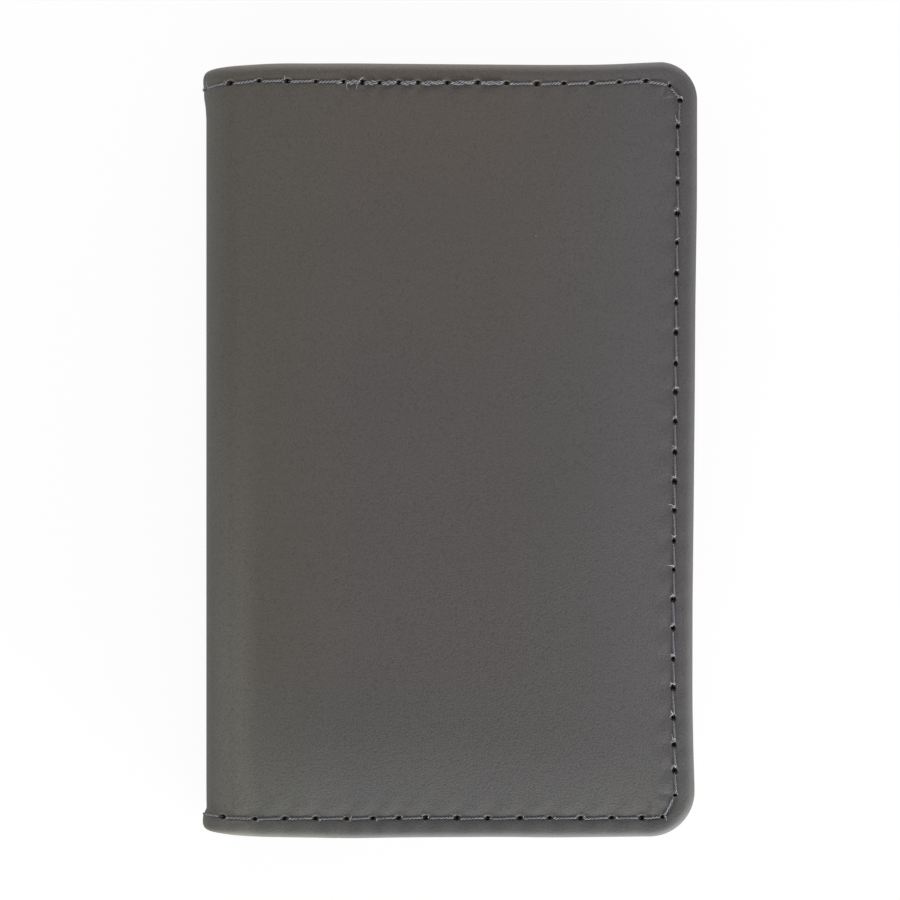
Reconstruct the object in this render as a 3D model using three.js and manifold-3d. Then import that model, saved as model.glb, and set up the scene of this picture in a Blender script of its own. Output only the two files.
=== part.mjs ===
// A folding card case: two stiffened covers joined by a soft fold, with a sleeve and a card slot inside each.
// Millimetres, +Z up. The closed case lies on its back cover, with the fold along -X and the head towards +Y.

import * as THREE from "three";
import { mergeVertices } from "three/addons/utils/BufferGeometryUtils.js";
import Module from "manifold-3d";

const wasm = await Module();
wasm.setup();

// Closed case
const closedWidth = 65;
const coverHeight = 102.6;
const cornerRadius = 5.4;
const rimRadius = 1.1;
const coverGap = 0.5;

// Sheets, and the glue line between one sheet and the next
const skinThickness = 0.8;
const shieldThickness = 0.1;
const boardThickness = 0.4;
const liningThickness = 0.15;
const sleeveThickness = 0.4;
const hemThickness = 0.8;
const slotThickness = 0.5;
const glueLine = 0.05;

// Fold: the clear strip at each bend line, and how far the head and tail edges draw in at the fold
const foldClearance = 0.35;
const foldPull = 0.75;
const pullLength = 16;

// Turned edges and pockets
const turnInWidth = 5;
const hemWidth = 4.5;
const panelSetback = 0.9;
const sheetClearance = 0.15;
const mitreGap = 0.15;
const sleeveMouthOffset = 3;
const slotMouthOffset = 17;
const thumbNotchWidth = 20;
const thumbNotchDepth = 7;

// Seam
const seamInset = 2.45;
const stitchPitch = 3.9;
const threadDiameter = 0.36;
const threadClearance = 0.1;
const threadCrest = 0.03;
const faceGrooveDepth = 0.55;
const slotGrooveDepth = 0.3;
const threadStepOut = 0.3;
const threadStepRun = 0.4;

// Fineness of the round stretches, and how far a cutting body reaches past what it cuts
const cornerSteps = 6;
const pullSteps = 5;
const rimSteps = 3;
const foldSteps = 12;
const notchSteps = 10;
const stepsPerStitch = 4;
const leastRadius = 0.2;
const overcut = 1;

// Heights of stacked sheets above the outer face
function stack(sheets) {
  const levels = {};
  let height = 0;
  for (const [name, thickness] of sheets) {
    levels[name] = { bottom: height, top: height + thickness };
    height += thickness + glueLine;
  }
  return levels;
}

const cover = stack([
  ["skin", skinThickness],
  ["shield", shieldThickness],
  ["board", boardThickness],
  ["lining", liningThickness],
  ["turnIn", skinThickness],
  ["sleeve", sleeveThickness],
  ["hem", hemThickness],
  ["slot", slotThickness],
]);

// The fold has no board, so that it bends
const fold = stack([
  ["skin", skinThickness],
  ["shield", shieldThickness],
  ["lining", liningThickness],
  ["turnIn", skinThickness],
]);

const foldRadius = cover.slot.top + coverGap / 2;
const closedThickness = 2 * foldRadius;
const halfFoldLength = (foldRadius - skinThickness / 2) * Math.PI / 2;
const edgeX = closedWidth / 2;
const foldX = foldRadius - edgeX;
const panelX = foldX + foldClearance;
const sleeveMouthX = foldX + sleeveMouthOffset;
const slotMouthX = foldX + slotMouthOffset;
const grooveWidth = threadDiameter + 2 * threadClearance;

const finishes = {
  skin: new THREE.MeshStandardMaterial({ color: 0x5a5855, roughness: 0.62, metalness: 0 }),
  pocket: new THREE.MeshStandardMaterial({ color: 0x4f4d4b, roughness: 0.66, metalness: 0 }),
  lining: new THREE.MeshStandardMaterial({ color: 0x2d2d30, roughness: 0.8, metalness: 0 }),
  shield: new THREE.MeshStandardMaterial({ color: 0xb9bcc0, roughness: 0.35, metalness: 1 }),
  board: new THREE.MeshStandardMaterial({ color: 0x8f7d64, roughness: 0.9, metalness: 0 }),
  thread: new THREE.MeshStandardMaterial({ color: 0xa9abb6, roughness: 0.7, metalness: 0 }),
};

function piece(name, geometry, finish) {
  const mesh = new THREE.Mesh(geometry, finishes[finish]);
  mesh.name = name;
  return mesh;
}

function toSolid(geometry) {
  const bare = new THREE.BufferGeometry();
  bare.setAttribute("position", geometry.getAttribute("position"));
  bare.setIndex(geometry.index);
  const merged = mergeVertices(bare);
  const vertProperties = merged.getAttribute("position").array;
  const triVerts = new Uint32Array(merged.index.array);
  return new wasm.Manifold(new wasm.Mesh({ numProp: 3, vertProperties, triVerts }));
}

function toGeometry(solid) {
  const { vertProperties, triVerts } = solid.getMesh();
  const geometry = new THREE.BufferGeometry();
  geometry.setAttribute("position", new THREE.BufferAttribute(vertProperties, 3));
  geometry.setIndex(new THREE.BufferAttribute(triVerts, 1));
  return geometry;
}

function cut(body, ...tools) {
  const rest = tools.reduce((left, tool) => left.subtract(toSolid(tool)), toSolid(body));
  return toGeometry(rest);
}

function common(body, other) {
  return toGeometry(toSolid(body).intersect(toSolid(other)));
}

// A closed body through rings of equal count, with both ends capped over the section's outline
function loft(rings, section) {
  const count = section.length;
  const last = (rings.length - 1) * count;
  const index = [];
  for (let start = 0; start < last; start += count) {
    for (let i = 0; i < count; i++) {
      const a = start + i;
      const b = start + (i + 1) % count;
      index.push(a, b, b + count, a, b + count, a + count);
    }
  }
  for (const [a, b, c] of THREE.ShapeUtils.triangulateShape(section, [])) {
    index.push(c, b, a, last + a, last + b, last + c);
  }
  const geometry = new THREE.BufferGeometry().setFromPoints(rings.flat());
  geometry.setIndex(index);
  return geometry;
}

// How far the head and tail edges draw in, by the distance along the skin from the middle of the fold
function endPull(distance) {
  const share = Math.max(0, 1 - distance / pullLength);
  return foldPull * share * share;
}

function halfHeightAt(x, inset) {
  return coverHeight / 2 - endPull(halfFoldLength + x - foldX) - inset;
}

// The cover's outline from the fold side at the tail, round the open edge, to the fold side at the head
function outline(inset, fromX) {
  const radius = Math.max(cornerRadius - inset, leastRadius);
  const cornerX = edgeX - inset - radius;
  const cornerY = coverHeight / 2 - inset - radius;
  const pullEndX = Math.max(fromX, Math.min(foldX + pullLength - halfFoldLength, cornerX));
  const headSide = [];
  const stretchSteps = pullEndX > fromX ? pullSteps : 0;
  for (let i = 0; i <= stretchSteps; i++) {
    const x = fromX + (pullEndX - fromX) * i / pullSteps;
    headSide.push(new THREE.Vector2(x, halfHeightAt(x, inset)));
  }
  for (let i = 0; i <= cornerSteps; i++) {
    const angle = Math.PI / 2 * (1 - i / cornerSteps);
    const x = cornerX + radius * Math.cos(angle);
    headSide.push(new THREE.Vector2(x, cornerY + radius * Math.sin(angle)));
  }
  const tailSide = headSide.map((point) => new THREE.Vector2(point.x, -point.y));
  return [...tailSide, ...headSide.reverse()];
}

function slab(points, bottom, top) {
  const shape = new THREE.Shape(points);
  const geometry = new THREE.ExtrudeGeometry(shape, { depth: top - bottom, bevelEnabled: false });
  return geometry.translate(0, 0, bottom);
}

// A quarter round from a flat face to the upright edge, as pairs of inset and distance from the face
function rimRound(radius) {
  const pairs = [];
  for (let i = 0; i <= rimSteps; i++) {
    const angle = Math.PI / 2 * i / rimSteps;
    pairs.push([radius * (1 - Math.sin(angle)), radius * (1 - Math.cos(angle))]);
  }
  return pairs;
}

// A plate of the cover's outline: its sewn edges follow pairs of inset and height, its fold side is straight
function rimmedPlate(profile, fromX) {
  const rings = profile.map(([inset, height]) =>
    outline(inset, fromX).map((point) => new THREE.Vector3(point.x, point.y, height)));
  return loft(rings, outline(profile[0][0], fromX));
}

// The strip that the seam runs along
function seamStrip(fromX) {
  const outer = outline(seamInset - grooveWidth / 2, fromX);
  const inner = outline(seamInset + grooveWidth / 2, fromX);
  return [...outer, ...inner.reverse()];
}

// Outlines that part a three-sided band at its mitred corners into head, open-edge and tail flaps
function mitredOutlines(width, fromX) {
  const reach = 2 * width;
  const farX = edgeX + overcut;
  const nearX = fromX - overcut;
  const farY = coverHeight / 2 + overcut;
  const head = [
    new THREE.Vector2(farX, farY + mitreGap),
    new THREE.Vector2(nearX, farY + mitreGap),
    new THREE.Vector2(nearX, farY - overcut - reach + mitreGap),
    new THREE.Vector2(edgeX - reach, farY - overcut - reach + mitreGap),
  ];
  const edge = [
    new THREE.Vector2(farX, -farY),
    new THREE.Vector2(farX, farY),
    new THREE.Vector2(edgeX - reach, farY - overcut - reach),
    new THREE.Vector2(edgeX - reach, overcut + reach - farY),
  ];
  const tail = head.map((point) => new THREE.Vector2(point.x, -point.y)).reverse();
  return { head, edge, tail };
}

// The turned flaps along three sides of a plate
function flaps(plate, inset, width, fromX, level) {
  const window = slab(outline(inset + width, fromX - overcut), level.bottom - overcut, level.top + overcut);
  const band = cut(plate, window);
  const parts = {};
  for (const [side, points] of Object.entries(mitredOutlines(inset + width, fromX))) {
    parts[side] = common(band, slab(points, level.bottom - overcut, level.top + overcut));
  }
  return parts;
}

function outerSkin() {
  const edgeTop = cover.lining.top;
  const profile = [...rimRound(Math.min(rimRadius, edgeTop - leastRadius)), [0, edgeTop]];
  const recess = slab(outline(skinThickness, panelX - overcut), cover.skin.top, edgeTop + overcut);
  const groove = slab(seamStrip(panelX - overcut), -overcut, faceGrooveDepth);
  return cut(rimmedPlate(profile, panelX), recess, groove);
}

function turnIns() {
  const { bottom, top } = cover.turnIn;
  const round = rimRound(Math.min(rimRadius, skinThickness - leastRadius)).reverse();
  const profile = [[0, bottom], ...round.map(([inset, drop]) => [inset, top - drop])];
  return flaps(rimmedPlate(profile, panelX), 0, turnInWidth, panelX, cover.turnIn);
}

function slotHems() {
  const plate = slab(outline(panelSetback, slotMouthX), cover.hem.bottom, cover.hem.top);
  return flaps(plate, panelSetback, hemWidth, slotMouthX, cover.hem);
}

function enclosedSheet(level) {
  return slab(outline(skinThickness + sheetClearance, panelX), level.bottom, level.top);
}

function sleevePanel() {
  return slab(outline(panelSetback, sleeveMouthX), cover.sleeve.bottom, cover.sleeve.top);
}

// The card slot's front, with a thumb notch at its mouth and a groove for the seam
function slotPanel() {
  const points = outline(panelSetback, slotMouthX);
  for (let i = 0; i <= notchSteps; i++) {
    const angle = Math.PI * (0.5 - i / notchSteps);
    const x = slotMouthX + thumbNotchDepth * Math.cos(angle);
    points.push(new THREE.Vector2(x, thumbNotchWidth / 2 * Math.sin(angle)));
  }
  const { bottom, top } = cover.slot;
  const groove = slab(seamStrip(slotMouthX - overcut), top - slotGrooveDepth, top + overcut);
  return cut(slab(points, bottom, top), groove);
}

const threadCorners = [[-1, -1], [1, -1], [1, 1], [-1, 1]];
const threadSection = threadCorners.map(([across, up]) => new THREE.Vector2(across, up));

function threadRing(point, tangent, height) {
  const side = new THREE.Vector2(-tangent.y, tangent.x).normalize();
  return threadSection.map((corner) => new THREE.Vector3(
    point.x + side.x * corner.x * threadDiameter / 2,
    point.y + side.y * corner.x * threadDiameter / 2,
    height + corner.y * threadDiameter / 2,
  ));
}

// The thread on the outer face: level along each stitch, with a dip at each needle hole
function faceThread() {
  const points = outline(seamInset, panelX + threadClearance);
  const path = new THREE.CurvePath();
  for (let i = 1; i < points.length; i++) {
    path.add(new THREE.LineCurve(points[i - 1], points[i]));
  }
  const steps = stepsPerStitch * Math.round(path.getLength() / stitchPitch);
  const crest = threadCrest + threadDiameter / 2;
  const dip = faceGrooveDepth - threadCrest - threadDiameter / 2;
  const rings = [];
  for (let i = 0; i <= steps; i++) {
    const share = i / steps;
    rings.push(threadRing(path.getPoint(share), path.getTangent(share), i % stepsPerStitch ? crest : dip));
  }
  return loft(rings, threadSection);
}

// The thread on the inside: along the slot panel, then down over each pocket mouth to the turned edge
function insideThread() {
  const above = threadClearance + threadDiameter / 2;
  const steps = [
    [slotMouthX - threadStepOut - threadStepRun, cover.sleeve.top + above],
    [sleeveMouthX - threadStepOut, cover.sleeve.top + above],
    [sleeveMouthX - threadStepOut - threadStepRun, cover.turnIn.top + above],
    [panelX + threadClearance, cover.turnIn.top + above],
  ];
  const slotRun = outline(seamInset, slotMouthX - threadStepOut);
  const slotHeight = cover.slot.top - slotGrooveDepth + above;
  const headRun = steps.map(([x, z]) => new THREE.Vector3(x, halfHeightAt(x, seamInset), z));
  const tailRun = headRun.map((point) => new THREE.Vector3(point.x, -point.y, point.z)).reverse();
  const slotPoints = slotRun.map((point) => new THREE.Vector3(point.x, point.y, slotHeight));
  const route = [...tailRun, ...slotPoints, ...headRun];
  const rings = route.map((point, i) => {
    const before = route[Math.max(i - 1, 0)];
    const after = route[Math.min(i + 1, route.length - 1)];
    return threadRing(point, after.clone().sub(before), point.z);
  });
  return loft(rings, threadSection);
}

// One cover, laid with its outer face down; sides names the ends that lie towards +Y and -Y in place
function coverGroup(name, sides) {
  const group = new THREE.Group();
  const add = (part, geometry, finish) => group.add(piece(`${name}_${part}`, geometry, finish));
  add("skin", outerSkin(), "skin");
  add("shield_film", enclosedSheet(cover.shield), "shield");
  add("stiffener_board", enclosedSheet(cover.board), "board");
  add("lining", enclosedSheet(cover.lining), "lining");
  for (const [side, geometry] of Object.entries(turnIns())) {
    add(`turn_in_${sides[side]}`, geometry, "skin");
  }
  add("sleeve_panel", sleevePanel(), "pocket");
  for (const [side, geometry] of Object.entries(slotHems())) {
    add(`slot_hem_${sides[side]}`, geometry, "pocket");
  }
  add("slot_panel", slotPanel(), "pocket");
  add("face_thread", faceThread(), "thread");
  add("inside_thread", insideThread(), "thread");
  return group;
}

// A body bent round the fold; section gives its outline at an angle, as (y, height over the outer face)
function bentBody(section, from, to) {
  const rings = [];
  for (let i = 0; i <= foldSteps; i++) {
    const angle = from + (to - from) * i / foldSteps;
    rings.push(section(angle, i).map(({ x, y }) => new THREE.Vector3(
      foldX - (foldRadius + y) * Math.cos(angle),
      x,
      foldRadius + (foldRadius + y) * Math.sin(angle),
    )));
  }
  return loft(rings, section(from, 0));
}

function foldHalfHeight(angle) {
  return coverHeight / 2 - endPull(halfFoldLength * Math.abs(angle) / (Math.PI / 2));
}

function rectangle(lowY, highY, lowZ, highZ) {
  return [
    new THREE.Vector2(lowY, lowZ),
    new THREE.Vector2(highY, lowZ),
    new THREE.Vector2(highY, highZ),
    new THREE.Vector2(lowY, highZ),
  ];
}

// The skin's section across the fold: turned rims at both ends and a groove for each end's seam
function foldSkinSection(angle) {
  const end = foldHalfHeight(angle);
  const edgeTop = fold.lining.top;
  const seam = end - seamInset;
  const headHalf = [
    new THREE.Vector2(end - skinThickness, -fold.skin.top),
    new THREE.Vector2(end - skinThickness, -edgeTop),
    new THREE.Vector2(end, -edgeTop),
  ];
  for (const [inset, drop] of rimRound(Math.min(rimRadius, edgeTop - threadClearance)).reverse()) {
    headHalf.push(new THREE.Vector2(end - inset, -drop));
  }
  headHalf.push(new THREE.Vector2(seam + grooveWidth / 2, 0));
  headHalf.push(new THREE.Vector2(seam + grooveWidth / 2, -faceGrooveDepth));
  headHalf.push(new THREE.Vector2(seam - grooveWidth / 2, -faceGrooveDepth));
  headHalf.push(new THREE.Vector2(seam - grooveWidth / 2, 0));
  const tailHalf = headHalf.map((point) => new THREE.Vector2(-point.x, point.y));
  return [...headHalf, ...tailHalf.reverse()];
}

function foldSheetSection(level) {
  return (angle) => {
    const end = foldHalfHeight(angle) - skinThickness - sheetClearance;
    return rectangle(-end, end, -level.top, -level.bottom);
  };
}

// Sections of the pieces that lie at one end of the fold; sign is 1 at the head and -1 at the tail
function endSection(sign, near, far, low, high) {
  const ends = [sign * near, sign * far].sort((a, b) => a - b);
  return rectangle(ends[0], ends[1], low, high);
}

function foldTurnInSection(sign) {
  return (angle) => {
    const end = foldHalfHeight(angle);
    return endSection(sign, end - turnInWidth, end, -fold.turnIn.top, -fold.turnIn.bottom);
  };
}

function foldFaceThreadSection(sign) {
  return (angle, step) => {
    const seam = foldHalfHeight(angle) - seamInset;
    const half = threadDiameter / 2;
    const low = step % stepsPerStitch ? -threadCrest - threadDiameter : threadCrest - faceGrooveDepth;
    return endSection(sign, seam - half, seam + half, low, low + threadDiameter);
  };
}

function foldInsideThreadSection(sign) {
  return (angle) => {
    const seam = foldHalfHeight(angle) - seamInset;
    const half = threadDiameter / 2;
    const high = -fold.turnIn.top - threadClearance;
    return endSection(sign, seam - half, seam + half, high - threadDiameter, high);
  };
}

function spineGroup() {
  const group = new THREE.Group();
  const bend = (section) => bentBody(section, -Math.PI / 2, Math.PI / 2);
  group.add(piece("spine_skin", bend(foldSkinSection), "skin"));
  group.add(piece("spine_shield_film", bend(foldSheetSection(fold.shield)), "shield"));
  group.add(piece("spine_lining", bend(foldSheetSection(fold.lining)), "lining"));
  for (const [side, sign] of [["head", 1], ["tail", -1]]) {
    group.add(piece(`spine_turn_in_${side}`, bend(foldTurnInSection(sign)), "skin"));
    group.add(piece(`spine_face_thread_${side}`, bend(foldFaceThreadSection(sign)), "thread"));
    group.add(piece(`spine_inside_thread_${side}`, bend(foldInsideThreadSection(sign)), "thread"));
  }
  return group;
}

const cardCase = new THREE.Group();
const backCover = coverGroup("back", { head: "head", edge: "edge", tail: "tail" });
const frontCover = coverGroup("front", { head: "tail", edge: "edge", tail: "head" });
frontCover.rotation.x = Math.PI;
frontCover.position.z = closedThickness;
cardCase.add(backCover, frontCover, spineGroup());

export default cardCase;
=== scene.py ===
import math
import random

import bmesh
import bpy
import numpy as np
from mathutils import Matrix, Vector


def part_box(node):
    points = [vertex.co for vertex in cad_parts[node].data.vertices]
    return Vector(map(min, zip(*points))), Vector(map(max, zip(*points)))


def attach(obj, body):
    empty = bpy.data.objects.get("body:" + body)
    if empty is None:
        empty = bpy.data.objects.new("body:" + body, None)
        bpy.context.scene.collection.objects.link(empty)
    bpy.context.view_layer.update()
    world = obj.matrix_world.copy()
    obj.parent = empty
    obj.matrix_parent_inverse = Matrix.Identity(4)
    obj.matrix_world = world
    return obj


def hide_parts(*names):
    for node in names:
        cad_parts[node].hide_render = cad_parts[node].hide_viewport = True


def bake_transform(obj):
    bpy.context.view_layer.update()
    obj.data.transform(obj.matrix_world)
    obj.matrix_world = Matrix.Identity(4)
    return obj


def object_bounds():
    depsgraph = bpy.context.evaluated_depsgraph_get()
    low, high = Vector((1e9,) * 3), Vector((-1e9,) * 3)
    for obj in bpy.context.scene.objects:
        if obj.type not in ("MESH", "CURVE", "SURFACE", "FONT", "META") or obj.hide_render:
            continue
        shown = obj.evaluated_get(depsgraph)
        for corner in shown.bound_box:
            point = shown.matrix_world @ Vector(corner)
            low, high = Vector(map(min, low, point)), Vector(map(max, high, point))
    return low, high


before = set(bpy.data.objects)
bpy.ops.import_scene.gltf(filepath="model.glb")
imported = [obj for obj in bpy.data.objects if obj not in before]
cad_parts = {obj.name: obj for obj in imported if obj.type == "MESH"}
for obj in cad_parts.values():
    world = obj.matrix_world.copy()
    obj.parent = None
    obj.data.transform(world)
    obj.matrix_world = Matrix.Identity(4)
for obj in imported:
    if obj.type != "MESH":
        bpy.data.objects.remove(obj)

mm = 0.001
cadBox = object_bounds()  # the CAD box, before any piece is added
caseLow = np.array(cadBox[0]) / mm
caseHigh = np.array(cadBox[1]) / mm
print("frame loaded, case of", [round(float(v), 2) for v in caseHigh - caseLow], "mm")


def nodeLevels(node):  # lowest and highest z of a node, in mm
    low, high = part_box(node)
    return low[2] / mm, high[2] / mm


# Each cover is laid out flat first: s runs along the skin from the middle of the fold to the open edge,
# y from tail to head, and depth from the outer face inwards. toCase wraps that round the fold.
foldShape = {
    "radius": float(caseHigh[2]) / 2,  # outer face of the closed fold
    "skinThick": 0.8,
    "filmDepth": (0.85, 0.95), "liningDepth": (1.0, 1.15),  # both lie closer to the skin in the fold
    "settle": 0.9,  # length either side of the fold's end in which they come down to the board
    "turnInDepth": 2.0, "boardEdge": (4.6, 9.0),  # the turned edge is thinner where there is no board
    "softReach": 1.27,  # how far along x and z the bend spreads, either side of the hinge
}
foldX = float(caseLow[0]) + foldShape["radius"]
foldLength = (foldShape["radius"] - foldShape["skinThick"] / 2) * math.pi / 2
coverLength = foldLength + float(caseHigh[0]) - foldX
halfTall = float(caseHigh[1])
liningDepth = nodeLevels("back_lining")
filmDepth = nodeLevels("back_shield_film")
turnInDepth = nodeLevels("back_turn_in_edge")
sleeveDepth = nodeLevels("back_sleeve_panel")
hemDepth = nodeLevels("back_slot_hem_edge")
slotDepth = nodeLevels("back_slot_panel")
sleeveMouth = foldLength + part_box("back_sleeve_panel")[0][0] / mm - foldX
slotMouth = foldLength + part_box("back_slot_panel")[0][0] / mm - foldX
panelSetback = float(caseHigh[0]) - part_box("back_slot_panel")[1][0] / mm


def smooth(value, low, high):
    t = np.clip((value - low) / (high - low), 0, 1)
    return t * t * (3 - 2 * t)


def bell(value, centre, width):
    return np.exp(-((value - centre) / width) ** 2)


def readOff(points, place):  # value at a place, from a list of (place, value)
    return np.interp(place, *zip(*points))


def toCase(side, s, y, depth):  # side is 1 on the front cover and -1 on the back
    angle = np.clip(s / foldLength, 0, 1) * math.pi / 2
    radius = foldShape["radius"] - depth
    x = foldX + np.maximum(s - foldLength, 0) - radius * np.cos(angle)
    z = foldShape["radius"] + side * radius * np.sin(angle)
    return np.stack([x, y + 0 * x, z], axis=-1)


# Edge line of a cover: head edge, rounded corner, open edge, rounded corner, tail edge.
coverEdge = {
    "headRadius": 4.75, "tailRadius": 6.15,
    "foldPull": 0.75, "pullLength": 16.0,  # head and tail edges draw in towards the fold
    "headSway": [(0, 0), (7.4, 0.12), (11.9, 0.2), (15, 0.1), (21, 0.13), (34, 0.01), (48, -0.09),
                 (55, -0.05), (60, 0.2), (63, 0.34)],
    "openSway": [(-45, -0.07), (-40, -0.25), (-33, -0.38), (-20, -0.36), (-7, -0.21), (7, -0.07),
                 (20, 0.02), (33, 0.22), (46, 0.24)],
    "tailSway": [(0, -0.2), (4, -0.13), (7.4, -0.01), (14.5, -0.07), (21, 0.05), (28, -0.06), (41, -0.14),
                 (48, -0.06), (56, -0.14), (62, -0.2)],
    "swayBlur": (-2, -1, 0, 1, 2),
    "headEnd": 63.0, "openEnds": (46.4, -45.1), "tailEnd": 62.0,  # where the corners take up the sway
    "swayFade": (3.0, 16.0),  # distances from the edge between which the sway dies out
}
runLengths = np.array([
    coverLength - coverEdge["headRadius"],
    coverEdge["headRadius"] * math.pi / 2,
    2 * halfTall - coverEdge["headRadius"] - coverEdge["tailRadius"],
    coverEdge["tailRadius"] * math.pi / 2,
    coverLength - coverEdge["tailRadius"],
])
runStarts = np.concatenate([[0], np.cumsum(runLengths)])
edgeTotal = runStarts[-1]
headCornerRun, openRun, tailCornerRun = 1, 2, 3


def swayAt(name, place):
    return np.mean([readOff(coverEdge[name], place + shift) for shift in coverEdge["swayBlur"]], axis=0)


def endPull(s):
    return coverEdge["foldPull"] * np.clip(1 - s / coverEdge["pullLength"], 0, 1) ** 2


def edgeLine(sigma):  # s, y, outward direction and sway at lengths along the edge
    sigma = np.asarray(sigma, dtype=float)
    rHead, rTail = coverEdge["headRadius"], coverEdge["tailRadius"]
    run = np.clip(np.searchsorted(runStarts, sigma, "right") - 1, 0, 4)
    along = sigma - runStarts[run]
    share = np.clip(along / runLengths[run], 0, 1)
    headAngle = math.pi / 2 - along / rHead
    tailAngle = -along / rTail
    openY = halfTall - rHead - along
    tailS = coverLength - rTail - along
    headEnd, tailEnd = swayAt("headSway", coverEdge["headEnd"]), swayAt("tailSway", coverEdge["tailEnd"])
    openHead, openTail = (swayAt("openSway", end) for end in coverEdge["openEnds"])

    def byRun(*values):
        return np.select([run == number for number in range(5)], values)

    return {
        "sigma": sigma,
        "s": byRun(sigma, coverLength - rHead + rHead * np.cos(headAngle), coverLength,
                   coverLength - rTail + rTail * np.cos(tailAngle), tailS),
        "y": byRun(halfTall - endPull(sigma), halfTall - rHead + rHead * np.sin(headAngle), openY,
                   rTail - halfTall + rTail * np.sin(tailAngle), endPull(tailS) - halfTall),
        "outS": byRun(0.0, np.cos(headAngle), 1.0, np.cos(tailAngle), 0.0),
        "outY": byRun(1.0, np.sin(headAngle), 0.0, np.sin(tailAngle), -1.0),
        "sway": byRun(swayAt("headSway", sigma), headEnd + share * (openHead - headEnd), swayAt("openSway", openY),
                      openTail + share * (tailEnd - openTail), swayAt("tailSway", tailS)),
    }


def openPlace(y):
    return runStarts[openRun] + halfTall - coverEdge["headRadius"] - y


def tailPlace(s):
    return edgeTotal - s


def offEdge(line, d):  # flat place at a distance d inside the edge line
    move = line["sway"] * (1 - smooth(d, *coverEdge["swayFade"])) - d
    return line["s"] + line["outS"] * move, line["y"] + line["outY"] * move


# Seam: the needle holes are counted off along the head, the open edge and the tail.
seam = {
    "inset": 2.45,
    "head": [(5.36, 20.3, 4), (20.3, 30.1, 4), (30.1, 45.95, 4), (45.95, 60.45, 4)],  # first hole, last, stitches
    "open": [(43.1, 39.5, 1), (39.5, 15.6, 6), (15.6, -35.2, 13), (-35.2, -45.9, 3)],
    "tail": [(59.8, 43.6, 4), (43.6, 31.2, 3), (31.2, 20.7, 3), (20.7, 4.42, 4)],
    "headCorner": (2.99, 7.53), "tailCorner": (6.71,),  # holes on each corner, from where it starts
    "cornerInset": [(0.5, 0.04), (2.99, 0.35), (7.53, -0.15), (11, 0.17)],  # the seam cuts the head corner short
    "lowCornerInset": [(-1.5, 0), (1.53, 0), (6.71, -0.38), (12, 0)],
    "headWander": [(2, 0), (5.4, -0.19), (9.3, -0.22), (13.3, -0.06), (21, 0.04), (25, 0.15), (29, 0.06),
                   (33, 0.08), (37, -0.03), (41, 0.04), (45, 0.12), (49, 0.04), (55, 0)],
    "tailWander": [(6, -0.32), (9.3, -0.22), (13.3, -0.03), (21, 0.04), (33, 0.05), (37, -0.1), (41, -0.09),
                   (45, 0), (49, 0.07), (53, -0.08), (56, 0)],
    "foldHole": (1.35, 0.75),  # last hole before the middle of the fold, head and tail
    "backTack": (20.0, 42.8),  # sewn twice over this part of the head seam
    "holeRadius": 0.27, "holeLong": 1.35, "holeDepth": 0.7,
    "holeScale": (0.72, 1.12),  # the needle leaves holes of different sizes
    "wander": 0.1,
}


def seamInset(sigma):
    places = {"cornerInset": sigma - runStarts[headCornerRun], "lowCornerInset": sigma - runStarts[tailCornerRun],
              "headWander": sigma, "tailWander": tailPlace(sigma)}
    return seam["inset"] + sum(readOff(seam[key], place) for key, place in places.items())


def countOff(runs):
    places = [place for first, last, count in runs for place in np.linspace(first, last, count + 1)[:-1]]
    return places + [runs[-1][1]]


def needleHoles(seed):
    pick = random.Random(seed)
    row = countOff(seam["head"])
    row += [runStarts[headCornerRun] + v for v in seam["headCorner"]]
    row += [openPlace(y) for y in countOff(seam["open"])]
    row += [runStarts[tailCornerRun] + v for v in seam["tailCorner"]]
    row += [tailPlace(s) for s in countOff(seam["tail"])]
    row = [v + pick.uniform(-1, 1) * seam["wander"] for v in row]
    headFold, tailFold = seam["foldHole"]
    return np.array([headFold] + row + [tailPlace(tailFold)])


def holeScales(holes, seed):
    pick = random.Random(seed)
    return np.array([pick.uniform(*seam["holeScale"]) for _ in holes])


holesBySide = {1: needleHoles(5), -1: needleHoles(17)}
holeSizes = {1: holeScales(holesBySide[1], 8), -1: holeScales(holesBySide[-1], 9)}


def holeDistance(sigma, side):  # length past the nearest hole, its size, and the share of a stitch passed
    holes = holesBySide[side]
    after = np.clip(np.searchsorted(holes, sigma), 1, len(holes) - 1)
    before = holes[after - 1]
    share = (sigma - before) / (holes[after] - before)
    gaps = sigma[:, None] - holes[None, :]
    nearest = np.argmin(np.abs(gaps), axis=1)
    return gaps[np.arange(len(sigma)), nearest], holeSizes[side][nearest], share


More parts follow.
